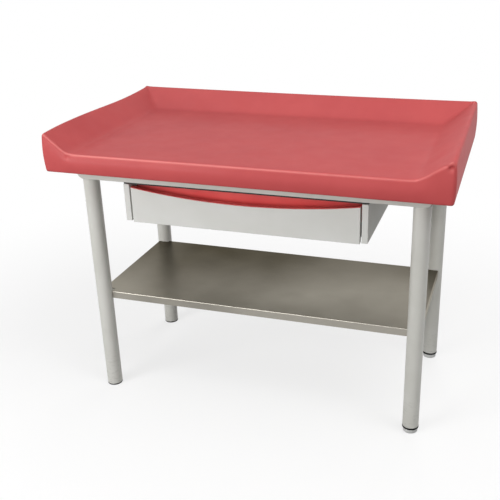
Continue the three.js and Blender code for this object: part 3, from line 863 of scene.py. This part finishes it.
def right_feet():
    """Black inserts in the right legs, and the levelling feet that screw into them."""
    hole, bore, rim = 0.0055, LEG_RADIUS - 0.003, LEG_RADIUS + 0.0004
    for row in ROWS:
        insert, foot = f"insert_{row}_right", f"foot_{row}_right"
        centre = middle(insert)
        low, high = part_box(insert)
        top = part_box(f"leg_{row}_right")[0].z + RIM_SHOWN - SEAT_GAP
        profile = [(hole, low.z), (rim - 0.0010, low.z), (rim, low.z + 0.0008),
                   (rim, top - 0.0006), (rim - 0.0005, top), (bore, top), (bore, high.z),
                   (hole, high.z), (hole, low.z)]
        fit(turned(f"{row}_right_insert_moulding", profile, centre), "frame", "black", insert)
        disc, r, end = low.z - SEAT_GAP, FOOT_RADIUS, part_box(foot)[1].z
        profile = [(0, 0), (r - 0.0035, 0), (r - 0.0012, 0.0006), (r, 0.0028),
                   (r, disc - 0.0034), (r - 0.0018, disc - 0.0006), (r - 0.004, disc),
                   (STUD_RADIUS, disc), (STUD_RADIUS, end - 0.001), (0.0036, end), (0, end)]
        fit(turned(f"{row}_right_foot_moulding", profile, centre), foot, "foot", foot)
        grown(f"{row}_right_foot_thread", "thread", foot, "zinc",
              {"Foot": (centre.x, centre.y, disc + 0.001), "Turns": 24.0,
               "Height": end - disc - 0.003})


# ------------------------ shelf

def folded_shelf():
    """One sheet notched round the legs, its four lips folded down on round bends."""
    low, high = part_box("shelf")
    sheet, bend = 0.002, 0.0026
    leg = middle("leg_front_right")
    clear = LEG_RADIUS + SEAT_GAP
    main_x, end_x = leg.x - clear, high.x
    front_notch, rear_notch = leg.y + clear, middle("leg_rear_right").y - clear
    mesh = bmesh.new()
    outline = [(-main_x, low.y), (main_x, low.y), (main_x, front_notch), (end_x, front_notch),
               (end_x, rear_notch), (main_x, rear_notch), (main_x, high.y), (-main_x, high.y),
               (-main_x, rear_notch), (-end_x, rear_notch), (-end_x, front_notch),
               (-main_x, front_notch)]
    top = [mesh.verts.new((x, y, high.z)) for x, y in outline]
    mesh.faces.new(top)
    bends = []
    for a, b in ((0, 1), (3, 4), (6, 7), (9, 10)):
        down = [mesh.verts.new((top[k].co.x, top[k].co.y, low.z)) for k in (a, b)]
        mesh.faces.new([top[b], top[a], down[0], down[1]])
        bends.append(mesh.edges.get([top[a], top[b]]))
    bmesh.ops.bevel(mesh, geom=bends, offset=bend, offset_type="OFFSET", segments=5,
                    profile=0.5, affect="EDGES")
    bmesh.ops.recalc_face_normals(mesh, faces=mesh.faces)
    if next(f for f in mesh.faces if len(f.verts) > 8).normal.z < 0:
        bmesh.ops.reverse_faces(mesh, faces=mesh.faces)
    shelf = worked_piece("folded_shelf", mesh)
    wall = shelf.modifiers.new("sheet", "SOLIDIFY")
    wall.thickness, wall.offset, wall.use_even_offset = sheet, -1, True
    fit(even(smooth(shelf, 40)), "frame", "steel", "shelf")


# ------------------------ drawer and housing

def board(node, body, slot, edge):
    """A plain board in a solid's place."""
    fit(bar(node + "_board", *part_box(node), edge), body, slot, node)


def housing():
    """Side boards and back under the frame, and the sheet they hang from, dark partly as painted
    shade.
    """
    for node in ("housing_side_left", "housing_side_right", "housing_back"):
        board(node, "frame", "panel", 0.001)
    low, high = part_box("housing_hanger")
    low.y += HANGER_SET_BACK
    fit(bar("housing_hanger_sheet", low, high, 0.0006), "frame", "hanger", "housing_hanger")


def dipped_arc(lift=0.0):
    """Points of the dipped upper edge from the right end to the left, raised by a lift."""
    low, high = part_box("drawer_front")
    half = (high.x - low.x) / 2
    radius = (half ** 2 + PANEL_DIP ** 2) / (2 * PANEL_DIP)
    swing = math.degrees(math.asin(half / radius))
    centre = ((low.x + high.x) / 2, high.z - PANEL_DIP + radius + lift)
    return arc(centre, radius, 270 + swing, 270 - swing, 64)


def drawer_panel():
    """Front panel with the dip in its upper edge."""
    low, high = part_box("drawer_front")
    outline = [(low.x, low.z), (high.x, low.z)] + dipped_arc()
    fit(drawn_out("drawer_panel", outline, "Y", low.y, high.y, 0.0012, 3),
        "drawer", "panel", "drawer_front")


def grip_band():
    """The moulding's front edge, turned forward over the panel's dipped edge."""
    low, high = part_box("drawer_front")
    outline = dipped_arc(SEAT_GAP) + dipped_arc(GRIP_LIFT)[::-1]
    fit(drawn_out("grip_band", outline, "Y", low.y + 0.0004, high.y + SEAT_GAP, 0.0005, 2),
        "drawer", "grip")


def finger_grip():
    """Moulded trough behind the panel, with a rounded bottom and a lip at its top."""
    low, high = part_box("drawer_grip")
    sheet, bottom_round, lip = 0.0025, 0.011, 0.005
    y0, y1, z0, z1 = low.y, high.y, low.z, high.z
    turn = (y1 - bottom_round, z0 + bottom_round)
    outline = [(y0, z0), *arc(turn, bottom_round, 270, 360, 12), (y1, z1), (y1 - lip, z1),
               (y1 - lip, z1 - sheet), (y1 - sheet, z1 - sheet),
               *arc(turn, bottom_round - sheet, 360, 270, 12), (y0, z0 + sheet)]
    fit(drawn_out("finger_grip", outline, "X", low.x, high.x, 0.0008, 2),
        "drawer", "grip", "drawer_grip")


def drawer_box():
    """Back, floor and sides. The sides step down in front to clear the grip."""
    for node in ("drawer_back", "drawer_floor"):
        board(node, "drawer", "box", 0.0006)
    grip_low, grip_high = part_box("drawer_grip")
    step_y, step_z = grip_high.y + SEAT_GAP, grip_low.z - SEAT_GAP
    for end in ENDS:
        node = f"drawer_side_{end}"
        low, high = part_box(node)
        outline = [(low.y, low.z), (high.y, low.z), (high.y, high.z), (step_y, high.z),
                   (step_y, step_z), (low.y, step_z)]
        fit(drawn_out(node + "_board", outline, "X", low.x, high.x, 0.0006, 2),
            "drawer", "box", node)


# ------------------------ fixings

def screw_head(name, radius=0.0052, height=0.0028, socket=0.0024):
    """A low round head with a hexagon socket, its axis upright and its foot at zero."""
    def hexagon(angle):
        return socket / math.cos((angle + math.pi / 6) % (math.pi / 3) - math.pi / 6)
    profile = [(0, 0), (radius, 0), (radius, height * 0.3), (radius * 0.86, height * 0.75),
               (radius * 0.6, height), (hexagon, height), (hexagon, height * 0.35),
               (0, height * 0.3)]
    return turned(name, profile, (0, 0), 36)


def staple_wire(name, length=0.011, wire=0.0007):
    """A staple's crown, a flat wire with its ends bent in."""
    half, top, under, turn = length / 2, 0.0006, -0.0004, 0.001
    outline = [(-half, top), *arc((turn - half, -0.0002), turn, 180, 270, 4),
               *arc((half - turn, -0.0002), turn, 270, 360, 4), (half, top), (half - wire, top),
               (half - wire, under), (wire - half, under), (wire - half, top)]
    return drawn_out(name, outline, "Y", -wire, wire, 0.0001, 1)


def screws(name, body, head, tilt, points):
    """Zinc screws of one pattern on some points."""
    grown(name, "fixing", body, "zinc", {"Head": head, "Tilt": tilt}, points)


def fixings():
    """Screws up into the board and the shelf, and through the drawer's runners."""
    head, upside_down = screw_head("screw_pattern"), (math.pi, 0, 0)
    rail_x, lug_inward, runner_wall = 0.511, 0.012, 0.0012
    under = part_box("rail_left")[0].z
    screws("pad_screws", "frame", head, upside_down,
           [(side * rail_x, y, under) for side in (-1, 1) for y in (-0.16, -0.02, 0.12)])
    lugs = [middle(f"shelf_lug_{row}_{end}") for row in ROWS for end in ENDS]
    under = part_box("shelf_lug_front_left")[0].z
    screws("shelf_screws", "frame", head, upside_down,
           [(lug.x + math.copysign(lug_inward, -lug.x), lug.y, under) for lug in lugs])
    for end, turn in (("left", -1), ("right", 1)):
        low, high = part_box(f"runner_inner_{end}")
        web = (high.x if end == "left" else low.x) + turn * runner_wall
        small = screw_head(f"runner_screw_pattern_{end}", 0.0036, 0.0018, 0.0015)
        screws(f"runner_screws_{end}", "drawer", small, (0, turn * math.pi / 2, 0),
               [(web, y, (low.z + high.z) / 2) for y in (-0.24, -0.06, 0.12)])
        bpy.data.objects.remove(small)
    bpy.data.objects.remove(head)


def cover_margin():
    """The cover's edge, turned under the board and stapled down."""
    width, thick, past_board, staple_row, staple_drop = 0.026, 0.0009, 0.002, 0.009, 0.0012
    outer_x = PAD_LENGTH / 2 - BOARD_INSET + past_board
    outer_y = PAD_WIDTH / 2 - BOARD_INSET + past_board
    inner_x, inner_y = outer_x - width, outer_y - width
    corners = (rectangle(-outer_x, outer_x, -outer_y, outer_y)
               + rectangle(-inner_x, inner_x, -inner_y, inner_y))
    vertices = [(x, y, z) for z in (PAD_BOTTOM, PAD_BOTTOM - thick) for x, y in corners]
    faces = []
    for k in range(4):
        n = (k + 1) % 4
        faces += [(k, n, 4 + n, 4 + k), (8 + k, 12 + k, 12 + n, 8 + n),
                  (k, 8 + k, 8 + n, n), (4 + k, 4 + n, 12 + n, 12 + k)]
    margin = new_piece("cover_margin", vertices, faces)
    edge = margin.modifiers.new("soft_edge", "BEVEL")
    edge.width, edge.segments = 0.0004, 2
    fit(smooth(margin, 40), "frame", "cover")
    staple = staple_wire("staple_pattern")
    row_x, row_y = inner_x + staple_row, inner_y + staple_row
    path = [(x, y, PAD_BOTTOM - staple_drop) for x, y in rectangle(-row_x, row_x, -row_y, row_y)]
    grown("staples", "staple", "frame", "zinc", {"Staple": staple}, path,
          [(0, 1), (1, 2), (2, 3), (3, 0)])
    bpy.data.objects.remove(staple)


# ------------------------ solids that still show

def dress_solids():
    """Gives every solid that still shows its own finish."""
    for entry in frame["record"]["subparts"]:
        piece = frame["nodes"][entry["node"]]
        if not piece.hide_render:
            for slot in piece.material_slots:
                slot.material = FINISH[entry["material_slot"]]


# ------------------------ room, light, camera

def seen(tree):
    """One where the camera looks, straight, in a reflection or through something, or nought."""
    path = put(tree, "ShaderNodeLightPath").outputs
    return sums(tree, "MAXIMUM", path["Is Camera Ray"],
                sums(tree, "MAXIMUM", path["Is Glossy Ray"], path["Is Transmission Ray"]))


def floor():
    """A pale floor that keeps the shadow near the table and runs out to white. It can't be seen
    from below."""
    half = 40.0
    plane = new_piece("floor", [(x, y, 0) for x, y in rectangle(-half, half, -half, half)],
                      [(0, 1, 2, 3)])
    material = bpy.data.materials.new("pale_floor")
    tree = emptied(material)
    looked_at = seen(tree)
    colour = tinted(tree, looked_at, (0.20, 0.20, 0.20, 1), (0.94, 0.94, 0.94, 1))
    near = put(tree, "ShaderNodeBsdfDiffuse", {"Color": colour})
    far = put(tree, "ShaderNodeEmission", {"Color": (1, 1, 1, 1), "Strength": 1.0})
    place = put(tree, "ShaderNodeTexCoord").outputs["Object"]
    distance = put(tree, "ShaderNodeVectorMath", {0: place}, operation="LENGTH").outputs["Value"]
    share = sums(tree, "MULTIPLY", looked_at, ranged(tree, distance, 0.9, 2.1, 0.65, 1.0))
    pale = put(tree, "ShaderNodeMixShader", {0: share, 1: near.outputs[0], 2: far.outputs[0]})
    below = put(tree, "ShaderNodeNewGeometry").outputs["Backfacing"]
    clear = put(tree, "ShaderNodeBsdfTransparent")
    whole = put(tree, "ShaderNodeMixShader", {0: below, 1: pale.outputs[0], 2: clear.outputs[0]})
    put(tree, "ShaderNodeOutputMaterial", {"Surface": whole.outputs[0]})
    plane.data.materials.append(material)


def room_light():
    """White room for the camera and for reflections, with more light from above than the sides."""
    world = bpy.data.worlds.new("room")
    bpy.context.scene.world = world
    tree = emptied(world)
    way = put(tree, "ShaderNodeTexCoord").outputs["Generated"]
    level = ranged(tree, along_way(tree, way, (0.30, -0.20, 0.93)), 0.15, 0.85, 0.14, 0.60)
    light = put(tree, "ShaderNodeBackground",
                {"Color": (1, 1, 1, 1), "Strength": blended(tree, seen(tree), level, 1.0)})
    put(tree, "ShaderNodeOutputWorld", {"Surface": light.outputs[0]})


def lamp(name, place, target, size, power, fills=True, gleams=True):
    """A soft lamp. One that does not fill only gleams, and one that does not gleam only fills."""
    data = bpy.data.lights.new(name, "AREA")
    data.shape, data.size, data.size_y, data.energy = "RECTANGLE", *size, power
    light = shown(name, data)
    light.location = place
    light.rotation_euler = (Vector(target) - Vector(place)).to_track_quat("-Z", "Y").to_euler()
    light.visible_diffuse, light.visible_glossy = fills, gleams


def camera():
    """The view from the front right, fitted to the table's edges."""
    heading, tilt, roll = (math.radians(t) for t in (17.419, 90 - 23.139, -1.012))
    data = bpy.data.cameras.new("camera")
    data.sensor_width, data.lens, data.shift_x, data.clip_end = 36.0, 55.721, -0.070, 200.0
    viewer = shown("camera", data)
    viewer.location = (0.7455, -2.2650, 1.4652)
    viewer.rotation_euler = (Matrix.Rotation(heading, 3, "Z") @ Matrix.Rotation(tilt, 3, "X")
                             @ Matrix.Rotation(roll, 3, "Z")).to_euler()
    bpy.context.scene.camera = viewer


# ------------------------ the whole scene

camera()
room_light()
floor()
lamp("front_lamp", (-1.9, -2.7, 1.4), (0, 0, 0.7), (1.8, 1.8), 66)
lamp("near_lamp", (1.0, -3.0, 0.9), (0.3, 0, 0.6), (1.2, 1.2), 11)
lamp("right_lamp", (2.4, -1.0, 2.9), (0.3, 0, 0.7), (1.2, 1.2), 15)
lamp("top_lamp", (1.1, -0.6, 3.0), (0.3, -0.3, 0), (1.6, 1.2), 20)
lamp("rear_lamp", (0.3, 3.4, 1.5), (0, 0, 0.6), (2.4, 1.6), 45, gleams=False)
lamp("edge_lamp", (-0.9, -1.1, 3.0), (-0.4, -0.4, 0.8), (2.4, 1.2), 70, fills=False)
for make in (upholstered_top, frame_rails, legs, left_plugs, right_feet, folded_shelf, housing,
             drawer_panel, grip_band, finger_grip, drawer_box, cover_margin, fixings,
             dress_solids):
    make()

bpy.context.scene.view_settings.view_transform = "Standard"
